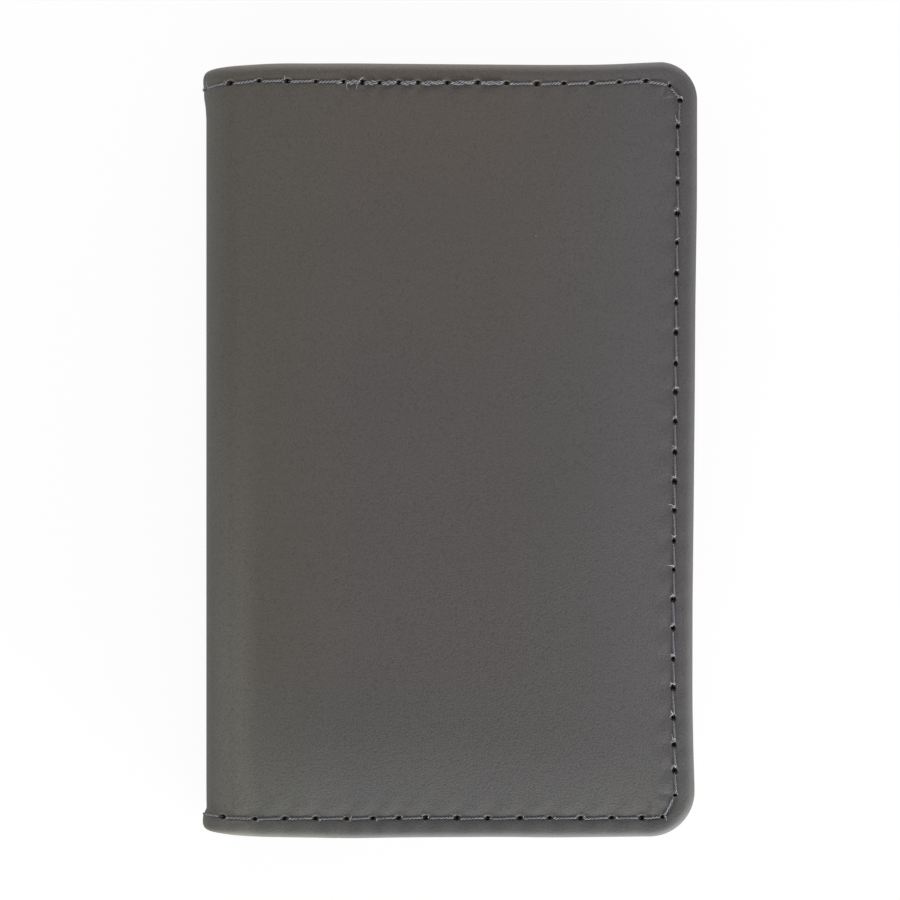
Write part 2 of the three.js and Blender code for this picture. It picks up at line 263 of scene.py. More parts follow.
# Form of the outer face: crowned over the board, drawn down along the seam, puffed between the stitches.
face = {
    "crown": {1: 0.9, -1: 0.0},  # the back lies flat on the table
    "crownRise": (0.5, 19),
    "fall": {"head": (0.22, 14.0, 2.0), "open": (0.62, 12.5, 1.3),  # share, reach, power
             "tail": (1.35, 14.0, 2.0)},
    "fallStop": 2.5,  # level again outside the seam
    "wave": {1: 0.03, -1: 0.0}, "waveFromFold": (6, 14), "waveFromEdge": (2, 9),
    "foldFlare": 0.34, "flareHead": (7.0, 2.8), "flareTail": (4.0, 2.9),  # the fold's ends swell past the seam
    "flareReach": (0.5, foldLength * 0.8),
    "valley": {"head": 0.015, "open": 0.05, "tail": 0.05}, "valleyWidth": (0.4, 1.7), "pinch": 0.02,
    "threadBed": 0.035, "bedWidth": 0.2,
    "rimPuff": {"head": 0.07, "open": 0.06, "tail": 0.155}, "rimRise": 1.3,  # the edge stands up outside the seam
    "rimBeat": 0.3,
    "innerPuff": 0.05, "innerBeat": (0.5, 0.8), "innerAt": 1.2, "innerWidth": 0.75,
    "holeLip": 0.05, "lipRing": 1.55, "lipWidth": 0.11,  # rings are in radii of the hole
    "rawRing": 1.35, "rawWidth": 0.1, "rawSide": (-0.1, 0.25),  # raw edge of a hole, on its head side only, where its wall faces the tail lamp: its own light colour and a painted highlight
    "press": {"head": 0.0, "open": 1.0, "tail": 0.7}, "pressWidth": 1.3,  # painted shade along the seam's valley, strongest on the open edge
    "rimWidth": {"head": 1.45, "open": 1.27, "tail": 1.22}, "rimSquare": {"head": 2.6, "open": 2.25, "tail": 2.9},
}


def crownLift(side, s, y):
    def drop(distance, edge):
        share, reach, power = face["fall"][edge]
        return 1 - share * (1 - np.clip(distance, face["fallStop"], reach) / reach) ** power

    def swell(toEnd, span):
        return smooth(toEnd, halfTall - span[0], halfTall - span[1])

    toEdge = coverLength - s
    kept = drop(halfTall - y, "head") * drop(halfTall + y, "tail") * drop(toEdge, "open")
    lift = face["crown"][side] * kept * smooth(s, *face["crownRise"])
    wave = np.sin(s * 0.23 + 0.7) * np.sin(y * 0.17 + 1.1) + 0.6 * np.sin(s * 0.11 - y * 0.29)  # slow and uneven
    wave = face["wave"][side] * wave * smooth(s, *face["waveFromFold"]) * smooth(toEdge, *face["waveFromEdge"])
    lift = lift + wave
    swollen = np.where(y > 0, swell(y, face["flareHead"]), swell(-y, face["flareTail"]))
    return lift + face["foldFlare"] * swollen * (1 - smooth(s, *face["flareReach"]))


def byEdge(line, values):  # a value for each edge, mixed round the corners
    outY = line["outY"]
    ends = values["head"] * np.maximum(outY, 0) ** 2 + values["tail"] * np.minimum(outY, 0) ** 2
    return ends + values["open"] * line["outS"] ** 2


def seamLift(side, line, d):  # the seam's own relief at a distance d from the edge, and its masks: the holes, their lit raw edges and the painted shade along the seam
    near, size, share = holeDistance(line["sigma"], side)
    inset = seamInset(line["sigma"])
    beat = np.cos(2 * math.pi * share)  # 1 at a hole, -1 between two
    rise = np.clip((inset - d) / face["rimRise"], 0, 1)
    lift = byEdge(line, face["rimPuff"]) * (1 - face["rimBeat"] * beat) * rise * (2 - rise)
    width = np.where(d < inset, *face["valleyWidth"])
    lift -= (byEdge(line, face["valley"]) + face["pinch"] * beat) * bell(d, inset, width)
    steady, swing = face["innerBeat"]
    lift += face["innerPuff"] * (steady - swing * beat) * bell(d, inset + face["innerAt"], face["innerWidth"])
    lift -= face["threadBed"] * bell(d, inset, face["bedWidth"])
    away = np.hypot(near / seam["holeLong"], d - inset) / size
    # the hole mask also paints shade into each needle hole
    hole = np.exp(-(away / seam["holeRadius"]) ** 4)
    lift += face["holeLip"] * bell(away, face["lipRing"] * seam["holeRadius"], face["lipWidth"])
    # only the head side, lit by the tail lamp, takes the raw edge colour: partly a painted highlight
    litHeadSide = smooth((inset - d) * line["outY"] - near * line["outS"], *face["rawSide"])
    lip = litHeadSide * bell(away, face["rawRing"] * seam["holeRadius"], face["rawWidth"])
    # painted shade: the seam's valley darkened in colour
    press = byEdge(line, face["press"]) * bell(d, inset, face["pressWidth"])
    return lift - seam["holeDepth"] * hole, {"hole": hole, "lip": lip, "press": press}


# Meshes
flatScale = {"depth": 4, "cover": 40}  # keeps layers and covers apart in the flat places that shaders read


def newMesh(name, points, faces, attributes, sharpAngle=48):
    mesh = bpy.data.meshes.new(name)
    mesh.from_pydata([tuple(p) for p in np.asarray(points) * mm], [], faces)
    for key, values in attributes.items():
        values = np.asarray(values, dtype=float)
        kind, field = ("FLOAT_VECTOR", "vector") if values.ndim == 2 else ("FLOAT", "value")
        mesh.attributes.new(key, kind, "POINT").data.foreach_set(field, values.ravel())
    shape = bmesh.new()
    shape.from_mesh(mesh)
    bmesh.ops.recalc_face_normals(shape, faces=shape.faces)
    shape.to_mesh(mesh)
    shape.free()
    mesh.shade_smooth()
    mesh.set_sharp_from_angle(angle=math.radians(sharpAngle))
    piece = bpy.data.objects.new(name, mesh)
    bpy.context.scene.collection.objects.link(piece)
    return piece


def wrapMesh(side, name, flat, faces, **marks):  # a mesh of flat points, wrapped round the fold
    s, y, depth = flat.T
    marks["flat"] = np.column_stack([s, y, flatScale["depth"] * depth + flatScale["cover"] * side])
    return newMesh(name, toCase(side, s, y, depth), faces, marks)


def strip(a, b):  # faces between two rows of point numbers
    return [(a[k], a[k + 1], b[k + 1], b[k]) for k in range(len(a) - 1)]


def mergeStations(wanted, extra, gap):  # sorted lengths; an extra one too near another is left out
    kept = list(np.unique(np.round(wanted, 4)))
    for value in np.unique(np.round(extra, 4)):
        if np.min(np.abs(np.array(kept) - value)) > gap:
            kept.append(value)
    return np.sort(np.array(kept))


def shareAlong(row):
    return np.linalg.norm(row - row[0], axis=1) / np.linalg.norm(row[-1] - row[0])


def coonsPatch(head, tail, free, openEdge):  # flat places inside four border rows
    u = shareAlong(head)[:, None, None]
    v = shareAlong(openEdge)[None, :, None]
    sides = (1 - v) * head[:, None, :] + v * tail[:, None, :]
    sides = sides + (1 - u) * free[None, :, :] + u * openEdge[None, :, :]
    corners = (1 - u) * (1 - v) * head[0] + u * (1 - v) * head[-1] + (1 - u) * v * tail[0] + u * v * tail[-1]
    return sides - corners


# Where the sheets have their points: a grid in the middle, and rings from it out to the edge.
sheetMesh = {
    "gridInset": 6.3, "gridGap": 0.6,
    "columns": np.concatenate([[0, 0.1, 0.25], np.arange(0.5, 8.6, 0.36), np.arange(9.2, 70, 1.7)]),
    "rowEnds": (halfTall - 7.0, 8.4 - halfTall), "rows": 52,
    "holeSteps": np.array([0, 0.1, 0.2, 0.31, 0.46, 0.72, 1.15, 1.75]),
    "bendEnd": 9, "bendStep": 0.3, "cornerSteps": 30, "endGap": 0.05, "stationGap": 0.045,
}
coverRows = np.linspace(*sheetMesh["rowEnds"], sheetMesh["rows"])


class SewnSheet:  # a sheet sewn on three sides; its fourth side is free
    def __init__(self, side, freeAt, inset, columns, rows):
        self.side, self.inset = side, inset
        self.points, self.faces = [], []
        self.marks = {key: [] for key in ("hole", "rim", "lip", "press")}
        start = float(freeAt(np.array([halfTall]))[0])
        d = inset + sheetMesh["gridInset"]
        room = d + sheetMesh["gridGap"]
        headPick = start + np.array([c for c in columns if start + c < coverLength - room])
        openPick = openPlace(np.array([r for r in rows if abs(r) < halfTall - room]))
        tailPick = tailPlace(headPick)
        holes, steps, gap = holesBySide[side][:, None], sheetMesh["holeSteps"], sheetMesh["endGap"]
        near = np.concatenate([holes + steps, holes - steps]).ravel()
        near = near[(near > start + gap) & (near < edgeTotal - start - gap)]
        bend = np.arange(start, sheetMesh["bendEnd"], sheetMesh["bendStep"])
        corners = [np.linspace(runStarts[run], runStarts[run + 1], sheetMesh["cornerSteps"])
                   for run in (headCornerRun, tailCornerRun)]
        near = np.concatenate([near, *corners, bend, tailPlace(bend)])
        near = near[(near >= start) & (near <= edgeTotal - start)]
        sigma = mergeStations(np.concatenate([headPick, openPick, tailPick]), near, sheetMesh["stationGap"])
        self.line = edgeLine(sigma)
        headMiddle, tailMiddle = (runStarts[run] + runLengths[run] / 2 for run in (headCornerRun, tailCornerRun))
        picked = [*headPick, headMiddle, *openPick, tailMiddle, *tailPick[::-1]]
        self.pickIndex = [int(np.argmin(np.abs(sigma - v))) for v in picked]

        def borderRow(places):
            return np.stack(offEdge(edgeLine(places), d), axis=1)

        headCorner = np.array([[coverLength - d, halfTall - d]])
        tailCorner = np.array([[coverLength - d, d - halfTall]])
        head = np.concatenate([borderRow(headPick), headCorner])
        tail = np.concatenate([borderRow(tailPick), tailCorner])
        openEdge = np.concatenate([headCorner, borderRow(openPick), tailCorner])
        share = (openEdge[:, 1] - tailCorner[0, 1]) / (headCorner[0, 1] - tailCorner[0, 1])
        freeY = tail[0, 1] + share * (head[0, 1] - tail[0, 1])
        self.grid = coonsPatch(head, tail, np.stack([freeAt(freeY), freeY], axis=1), openEdge)

    def add(self, s, y, depth, **marks):  # a row of points, with its marks
        first = len(self.points)
        self.points.extend(np.stack([s, y, depth + 0 * s], axis=1))
        for key, values in self.marks.items():
            values.extend(np.broadcast_to(marks.get(key, 0.0), s.shape))
        return np.arange(first, len(self.points))

    def ring(self, d, depth, **marks):
        return self.add(*offEdge(self.line, self.inset + d), depth, **marks)

    def gridRows(self, depthAt):
        s, y = self.grid.reshape(-1, 2).T
        return self.add(s, y, depthAt(s, y)).reshape(self.grid.shape[:2])

    def joinGrid(self, ring, index):  # the grid's faces, and those from its border to a fine ring
        for a, b in zip(index[:-1], index[1:]):
            for j in range(len(a) - 1):
                self.faces.append((a[j], b[j], b[j + 1], a[j + 1]))
        border = [*index[:-1, 0], *index[-1, :], *index[:-1, -1][::-1]]
        for c in range(len(border) - 1):
            between = ring[self.pickIndex[c]:self.pickIndex[c + 1] + 1]
            self.faces.append((*between, border[c + 1], border[c]))

    def close(self, name, rings, topDepth, underDepth):
        for a, b in zip(rings[:-1], rings[1:]):
            self.faces += strip(a, b)
        top, under = self.gridRows(topDepth), self.gridRows(underDepth)
        self.joinGrid(rings[0], top)
        self.joinGrid(rings[-1], under)
        for k in (0, -1):  # walls the free side
            self.faces.append(tuple(ring[k] for ring in rings))
            self.faces.append((rings[0][k], top[0, k], under[0, k], rings[-1][k]))
        self.faces += strip(top[0], under[0])
        faces = [tuple(int(v) for v in corners) for corners in self.faces]
        return wrapMesh(self.side, name, np.array(self.points), faces, **self.marks)


# Skin: the outer sheet of a cover, its rolled rim and the edge turned in behind it.
skinMesh = {
    "seamSteps": (2.2, 1.75, 1.3, 0.95, 0.65, 0.45, 0.31, 0.21, 0.12, 0.05, 0,
                  -0.05, -0.12, -0.21, -0.31, -0.45, -0.65, -0.9),
    "rimRings": 17,
    "turnIn": (1.9, 2.45, 3.4, 4.5), "turnInPress": 0.03, "pressAt": 1.9, "pressWidth": 0.5,
    "turnInEnd": [(4.64, 0.05), (4.7, 0.2), (4.7, 0.7), (4.6, 0.8), (2.5, 0.8), (1.15, 0.84)],  # distance, rise
    "crease": 0.85, "inner": [(1.15, 0.03), (2.5, 0.0), (4.7, 0.0)],  # back of the sheet, inside the turned edge
}


def edgeThickness(s):  # thickness at the turned edge
    thin = foldShape["turnInDepth"]
    return thin + (turnInDepth[1] - thin) * smooth(s, *foldShape["boardEdge"])


def makeSkin(side, name):
    sheet = SewnSheet(side, lambda y: 0 * y, 0.0, sheetMesh["columns"], coverRows)
    line = sheet.line
    thick = edgeThickness(line["s"])
    skin = foldShape["skinThick"]
    rings = []

    def liftAt(d):
        relief, marks = seamLift(side, line, d)
        return crownLift(side, *offEdge(line, d)) + relief, marks

    for step in skinMesh["seamSteps"]:
        d = seamInset(line["sigma"]) + step
        lift, marks = liftAt(d)
        rings.append(sheet.ring(d, -lift, **marks))
    power = 2 / byEdge(line, face["rimSquare"])
    width = byEdge(line, face["rimWidth"])
    for phi in np.linspace(0, math.pi, skinMesh["rimRings"]):
        d = width * (1 - math.sin(phi) ** power)
        lift, marks = liftAt(d)
        fall = math.copysign(1, math.cos(phi)) * abs(math.cos(phi)) ** power
        depth = thick * (1 - fall) / 2 - (1 + fall) / 2 * lift
        rings.append(sheet.ring(d, depth, rim=math.sin(phi) ** 2, press=marks["press"]))
    for d in skinMesh["turnIn"]:
        pressed = skinMesh["turnInPress"] * bell(d, skinMesh["pressAt"], skinMesh["pressWidth"])
        rings.append(sheet.ring(d, thick - pressed))
    rings += [sheet.ring(d, thick - up) for d, up in skinMesh["turnInEnd"]]
    rings.append(sheet.ring(skinMesh["crease"], thick / 2))
    rings += [sheet.ring(d, skin + down) for d, down in skinMesh["inner"]]
    return sheet.close(name, rings, lambda s, y: -crownLift(side, s, y), lambda s, y: skin)


# Thread
thread = {
    "diameter": {"head": 0.37, "open": 0.3, "tail": 0.31}, "plies": 3, "turnLength": 1.4,
    "sides": 6, "steps": 22, "foldSteps": 29, "flowStep": 0.2,
    "rise": {"head": -0.03, "open": 0.03, "tail": 0.03},  # out of the seam's bed
    "doubleRise": 0.055, "foldRise": 0.08,  # added on doubled stitches and over the fold
    "insideSink": 0.03,
    "endRise": 0.06,  # proud at the tail end of each stitch on the open edge
    "dive": 0.55, "diveShare": 0.12, "divePower": 1.3,
    "gap": 0.24,  # bare length at each end of a stitch, over the needle hole
    "slant": -0.08, "jitter": 0.03,
    "sideways": 0.03,  # the stitches lie to the tail side of their groove
    "spread": 0.13, "winds": 1.25, "windDepth": 0.7,  # the two passes of a doubled stitch wind round each other
    "phase": 6.28,
}


# Closed round tubes: each is centres, radius, across and up rows, start of the flow and outer side; the thread
# material paints shade on the side away from the outer side.
def tubeMesh(name, tubes):
    points, faces, flow = [], [], []
    count = thread["sides"]
    ring = np.linspace(0, 2 * math.pi, count, endpoint=False)
    for centres, radius, across, up, start, outer in tubes:
        rows = (len(points) + np.arange(len(centres) * count).reshape(-1, count)).tolist()
        for i in range(len(centres)):
            for a in ring:
                points.append(centres[i] + radius[i] * (math.cos(a) * across[i] + math.sin(a) * up[i]))
                # the last flow value is 1 on the outer side and 0 opposite, where shade is painted
                flow.append((start + i * thread["flowStep"], a, 0.5 + 0.5 * math.cos(a - outer[i])))
        for a, b in zip(rows[:-1], rows[1:]):
            faces += strip(a + a[:1], b + b[:1])
        faces += [rows[0][::-1], rows[-1]]
    return newMesh(name, points, faces, {"flow": np.array(flow)}, sharpAngle=80)


def unit(rows):
    return rows / np.linalg.norm(rows, axis=1)[:, None]


def laidPath(side, s, y, depth):  # centres of a path, with its across and up directions
    centres = toCase(side, s, y, depth)
    outward = unit(toCase(side, s, y, depth - 0.2) - centres)
    run = unit(np.gradient(centres, axis=0))
    across = unit(np.cross(run, outward))
    return centres, across, np.cross(across, run)


def twist(path, phase, diameter):  # the plies of one length of thread
    centres, across, up = path
    plyRadius = diameter / 2 / (1 + 2 / math.sqrt(3))
    offset = plyRadius * 2 / math.sqrt(3)
    steps = np.linalg.norm(np.diff(centres, axis=0), axis=1)
    travel = np.concatenate([[0], np.cumsum(steps)])
    tubes = []
    for ply in range(thread["plies"]):
        angle = phase + 2 * math.pi * (travel / thread["turnLength"] + ply / thread["plies"])
        mid = centres + offset * (np.cos(angle)[:, None] * across + np.sin(angle)[:, None] * up)
        flowStart = phase * 7 + ply * 3.1  # no two plies have the same fibres
        tubes.append((mid, np.full(len(mid), plyRadius), across, up, flowStart, angle))
    return tubes


def diveAt(ends):  # how deep the thread dips into a hole; ends is 0 at the hole
    return thread["dive"] * (1 - smooth(ends, 0, 1)) ** thread["divePower"]


def stitch(side, start, end, depthAt, pick, spread=0.0, proud=1, turn=0.0):  # a straight stitch
    u = np.linspace(0, 1, thread["steps"])
    line = edgeLine(np.array([start, end]))
    endS, endY = offEdge(line, seamInset(line["sigma"]))
    run = np.array([endS[1] - endS[0], endY[1] - endY[0]])
    length = np.linalg.norm(run)
    run /= length
    travel = thread["gap"] + (length - 2 * thread["gap"]) * u
    lean = thread["slant"] * (2 * u - 1) + pick.uniform(-thread["jitter"], thread["jitter"])
    lean = lean + thread["sideways"] * float(np.mean(line["outY"] - line["outS"]))
    wind = 2 * math.pi * u * thread["winds"] + turn
    lean = lean + spread * np.sin(wind) * np.sin(math.pi * u) ** 0.5
    inward = np.array([run[1], -run[0]])  # the edge runs clockwise, so inwards is on its right
    s = endS[0] + run[0] * travel + inward[0] * lean
    y = endY[0] + run[1] * travel + inward[1] * lean
    dive = diveAt(np.minimum(u, 1 - u) / thread["diveShare"])
    valley, rise, diameter = (float(np.mean(byEdge(line, values)))
                              for values in (face["valley"], thread["rise"], thread["diameter"]))
    depth = depthAt(s, y, dive, valley - rise) - thread["windDepth"] * spread * np.cos(wind)
    depth = depth - proud * thread["endRise"] * float(np.mean(line["outS"])) * (2 * u - 1)
    return twist(laidPath(side, s, y, depth), pick.uniform(0, thread["phase"]), diameter)


def faceDepth(side, rise):
    def depthAt(s, y, dive, sink):
        return dive - rise - (crownLift(side, s, y) - sink - face["threadBed"])
    return depthAt


def insideDepth(s, y, dive, sink):  # the seam climbs from the turned edge over the sleeve and the slot
    base = edgeThickness(s)
    level = base + (sleeveDepth[1] - base) * smooth(s, sleeveMouth - 1.0, sleeveMouth - 0.1)
    level = level + (slotDepth[1] - sleeveDepth[1]) * smooth(s, slotMouth - 1.6, slotMouth - 0.15)
    return level + thread["insideSink"] - dive


def makeSeam(side, name, seed, inside=False):
    pick = random.Random(seed)
    holes = holesBySide[side]
    low, high = seam["backTack"]
    tubes = []
    for start, end in zip(holes[:-1], holes[1:]):
        if inside:
            tubes += stitch(side, start, end, insideDepth, pick, proud=0)
        elif side > 0 and low < start and end < high:
            turn = pick.uniform(0, thread["phase"])
            for half in (0, math.pi):
                tubes += stitch(side, start, end, faceDepth(side, thread["doubleRise"]), pick,
                                spread=thread["spread"], turn=turn + half)
        else:
            tubes += stitch(side, start, end, faceDepth(side, 0.0), pick)
    return tubeMesh(name, tubes)


def makeSpineStitches(name, seed):  # the stitches that cross the middle of the fold
    pick = random.Random(seed)
    tubes = []
    u = np.linspace(-1, 1, thread["foldSteps"])
    dive = diveAt((1 - np.abs(u)) / (2 * thread["diveShare"]))
    side = np.where(u >= 0, 1, -1)
    headFold, tailFold = seam["foldHole"]
    for fold, place, sign, edge in ((headFold, headFold, 1, "head"), (tailFold, tailPlace(tailFold), -1, "tail")):
        s = np.abs(u) * fold
        y = sign * (halfTall - endPull(s) - float(seamInset(place))) + thread["jitter"] * u
        outside = faceDepth(1, thread["foldRise"])(s, y, dive, face["valley"][edge] - thread["rise"][edge])
        for depth in (outside, edgeThickness(s) + thread["insideSink"] - dive):
            path = laidPath(side, s, y, depth)
            tubes += twist(path, pick.uniform(0, thread["phase"]), thread["diameter"][edge])
    return tubeMesh(name, tubes)


# Loose ends at the doubled stitches, and fluff at the needle holes.
fluff = {
    "radius": 0.026, "taper": 0.5, "steps": 12, "curl": 1.6, "lift": 0.03, "arch": 0.1,
    "heading": (1.2, 5.1), "shortest": 0.2, "aside": 0.12,
    "tackEnds": 9, "tackSpan": (-0.2, 2.4), "longest": 1.3,
    "foldEnds": (1.2, 1.6, 2.1), "foldLongest": 1.0,
    "holeBack": (0.3, 0.65), "holeLongest": 0.5, "perOpenHole": 3,
    "longHoles": 12, "longBack": (0.3, 0.6), "longLongest": 1.0,
}


def fibre(side, sigma, d, length, turn, pick):  # a loose end of thread, lying on the face
    u = np.linspace(0, 1, fluff["steps"])
    heading = turn + pick.uniform(-fluff["curl"], fluff["curl"]) * u
    step = length / len(u)
    line = edgeLine(sigma + step * np.cumsum(np.cos(heading)))
    s, y = offEdge(line, d + step * np.cumsum(np.sin(heading)))
    depth = -crownLift(side, s, y) - fluff["lift"] - fluff["arch"] * np.sin(math.pi * u)
    centres, across, up = laidPath(side, s, y, depth)
    radius = fluff["radius"] * (1 - fluff["taper"] * u)
    # the outer side is up, so painted shade lies under the fibre
    return centres, radius, across, up, pick.uniform(0, 9), np.full(len(u), math.pi / 2)


def makeFluff(side, name, seed):
    pick = random.Random(seed)
    low, high = seam["backTack"]
    places = [(low + pick.uniform(*fluff["tackSpan"]), fluff["longest"]) for _ in range(fluff["tackEnds"])]
    places += [(high, fluff["longest"])] + [(s, fluff["foldLongest"]) for s in fluff["foldEnds"]]
    for hole in holesBySide[side]:
        onOpen = runStarts[openRun] < hole < runStarts[tailCornerRun]
        count = fluff["perOpenHole"] if onOpen else 1
        places += [(hole - pick.uniform(*fluff["holeBack"]), fluff["holeLongest"]) for _ in range(count)]
    for hole in pick.sample(list(holesBySide[side][3:-3]), fluff["longHoles"]):
        places.append((hole - pick.uniform(*fluff["longBack"]), fluff["longLongest"]))
    tubes = []
    for sigma, longest in places:
        start = float(seamInset(sigma)) + pick.uniform(-fluff["aside"], fluff["aside"])
        length = pick.uniform(fluff["shortest"], longest)
        tubes.append(fibre(side, sigma, start, length, pick.uniform(*fluff["heading"]), pick))
    return tubeMesh(name, tubes)


# Pockets inside each cover
pocket = {
    "valley": 0.07, "valleyBeat": 0.02, "valleyWidth": 0.45, "holeDepth": 0.3,
    "lip": 0.07, "lipWidth": 1.9, "lipStep": 0.25,  # turned mouth edge and the crease behind it
    "crease": 0.06, "creaseAt": 0.06, "creaseWidth": 0.12,
    "round": 0.2,
    "notchHalf": 10.0, "notchDeep": 7.0, "notchSquare": 2.2, "notchPower": 0.62,
    "columns": np.concatenate([[0, 0.05, 0.12, 0.22, 0.5, 1.0, 1.5, 1.75, 1.88, 1.98, 2.1, 2.3, 2.8, 3.6],
                               np.arange(4.8, 62, 2.2)]),
    "notchRows": np.unique(np.round(np.concatenate([np.linspace(*sheetMesh["rowEnds"], 30),
                                                    np.linspace(-11.4, 11.4, 39)]), 3))[::-1],
    "seamSteps": (2.3, 1.7, 1.3, 0.9, 0.6, 0.42, 0.3, 0.2, 0.12, 0.05,
                  -0.02, -0.1, -0.2, -0.32, -0.48, -0.7, -0.98),
    "rimAngles": (30, 60, 90, 120, 150), "under": (0.25, 3.8),
    "hemWide": 4.0, "hemStart": 0.05, "hemSteps": (24, 10, 34, 10, 24),
}


def notchAt(y):
    share = np.clip(1 - (np.abs(y) / pocket["notchHalf"]) ** pocket["notchSquare"], 0, 1)
    return pocket["notchDeep"] * share ** pocket["notchPower"]


def makePanel(side, name, levels, freeAt, rows):
    low, high = levels
    sheet = SewnSheet(side, freeAt, panelSetback, pocket["columns"], rows)
    line = sheet.line
    cornerRound = pocket["round"]

    def mouthDepth(s, y):  # lip, crease and rounded edge by the distance from the mouth
        m = s - freeAt(y)
        edge = np.clip(m, 0, cornerRound)
        drop = cornerRound - np.sqrt(np.maximum(cornerRound ** 2 - (cornerRound - edge) ** 2, 0))
        lip = pocket["lip"] * (1 - smooth(m, pocket["lipWidth"] - pocket["lipStep"], pocket["lipWidth"]))
        crease = pocket["crease"] * bell(m, pocket["lipWidth"] + pocket["creaseAt"], pocket["creaseWidth"])
        return high + (lip - crease - drop)

    rings = []
    inset = seamInset(line["sigma"])
    near, size, share = holeDistance(line["sigma"], side)
    dip = pocket["valley"] + pocket["valleyBeat"] * np.cos(2 * math.pi * share)
    for step in pocket["seamSteps"]:
        d = inset - panelSetback + step
        fromSeam = d + panelSetback - inset
        # the hole mask also paints shade into each needle hole
        hole = np.exp(-(np.hypot(near, fromSeam) / (size * seam["holeRadius"])) ** 3)
        relief = -dip * bell(fromSeam, 0, pocket["valleyWidth"]) - pocket["holeDepth"] * hole
        rings.append(sheet.ring(d, mouthDepth(*offEdge(line, panelSetback + d)) + relief, hole=hole))
    for phi in np.radians(pocket["rimAngles"]):
        depth = high - (high - low) * (1 - math.cos(phi)) / 2
        rings.append(sheet.ring(cornerRound * (1 - math.sin(phi)), depth, rim=1.0))
    rings += [sheet.ring(d, low) for d in pocket["under"]]
    return sheet.close(name, rings, mouthDepth, lambda s, y: low)


def makeHem(side, name):  # the folded edge that keeps the slot open
    low, high = hemDepth
    start = slotMouth + pocket["hemStart"]
    stops = [start, *runStarts[1:5], tailPlace(start)]
    spans = [np.linspace(*span) for span in zip(stops[:-1], stops[1:], pocket["hemSteps"])]
    line = edgeLine(np.unique(np.concatenate(spans)))
    wide, middle = pocket["hemWide"], low + (high - low) / 2
    section = [(0.3, low), (0.12, low + 0.1), (0.0, middle), (0.12, high - 0.1), (0.3, high), (wide - 0.3, high),
               (wide - 0.1, high - 0.12), (wide, middle), (wide - 0.1, low + 0.12), (wide - 0.3, low)]
    flat, faces = [], []
    for d, depth in section:
        s, y = offEdge(line, panelSetback + d)
        flat.append(np.stack([s, y, depth + 0 * s], axis=1))
    rows = np.arange(len(section) * len(line["s"])).reshape(len(section), -1).tolist()
    for a, b in zip(rows, rows[1:] + rows[:1]):
        faces += strip(a, b)
    faces += [[row[k] for row in rows] for k in (0, -1)]
    return wrapMesh(side, name, np.concatenate(flat), faces)


# Lining and film: plain sheets from the fold to the open edge, with rounded corners.
innerSheet = {"setback": 0.95, "cornerRadius": 4.6, "cornerSharp": 0.999, "lastGap": 1.5, "rows": 41}


def makeSheet(side, name, foldLevels, coverLevels):
    end = coverLength - innerSheet["setback"]
    columns = [c for c in sheetMesh["columns"] if c < end - innerSheet["lastGap"]] + [end]
    s, v = np.meshgrid(columns, np.linspace(1, -1, innerSheet["rows"]), indexing="ij")
    radius = innerSheet["cornerRadius"]
    reach = np.clip((s - (end - radius)) / radius, 0, 1)
    corner = radius * (1 - np.sqrt(1 - reach ** 2 * innerSheet["cornerSharp"]))
    y = v * (halfTall - endPull(s) - innerSheet["setback"] - corner)
    settle = smooth(s, foldLength - foldShape["settle"], foldLength + foldShape["settle"])
    flat, faces = [], []
    m, n = s.shape
    index = np.arange(m * n).reshape(m, n)
    for layer, (fold, cover) in enumerate(zip(foldLevels, coverLevels)):
        depth = fold + (cover - fold) * settle
        flat.append(np.stack([s.ravel(), y.ravel(), depth.ravel()], axis=1))
        for a in (index[:-1, :-1] + layer * m * n).ravel().tolist():
            faces.append((a, a + n, a + n + 1, a + 1))
    border = np.concatenate([index[:, 0], index[-1, 1:], index[-2::-1, -1], index[0, -2::-1]])
    faces += strip(border.tolist(), (border + m * n).tolist())
    return wrapMesh(side, name, np.concatenate(flat), faces)


# Shader nodes
def plugAll(tree, node, inputs):  # links a socket, and sets any other value
    for key, value in inputs.items():
        socket = node.inputs[key]
        if isinstance(value, bpy.types.NodeSocket):
            tree.links.new(value, socket)
        else:
            socket.default_value = (*value, 1.0) if socket.type == "RGBA" else value


def addNode(tree, kind, inputs, **settings):
    node = tree.nodes.new(kind)
    for key, value in settings.items():
        setattr(node, key, value)
    plugAll(tree, node, inputs)
    return node


def mathNode(tree, operation, *values):
    return addNode(tree, "ShaderNodeMath", dict(enumerate(values)), operation=operation).outputs[0]


def stretched(tree, vector, scale):  # a vector scaled unevenly
    return addNode(tree, "ShaderNodeVectorMath", {0: vector, 1: scale}, operation="MULTIPLY").outputs[0]


def separate(tree, vector):
    return addNode(tree, "ShaderNodeSeparateXYZ", {0: vector}).outputs


def noiseNode(tree, vector, scale, detail, rough):
    inputs = {"Vector": vector, "Scale": scale, "Detail": detail, "Roughness": rough}
    return addNode(tree, "ShaderNodeTexNoise", inputs).outputs["Fac"]


def rangeMap(tree, value, low, high, toLow, toHigh):
    inputs = {"Value": value, "From Min": low, "From Max": high, "To Min": toLow, "To Max": toHigh}
    return addNode(tree, "ShaderNodeMapRange", inputs).outputs["Result"]


def mixColour(tree, factor, a, b, blend="MIX"):  # inputs 6 and 7 are the two colours
    inputs = {"Factor": factor, 6: a, 7: b}
    return addNode(tree, "ShaderNodeMix", inputs, data_type="RGBA", blend_type=blend).outputs[2]


def attribute(tree, name, output="Fac"):
    return addNode(tree, "ShaderNodeAttribute", {}, attribute_name=name).outputs[output]


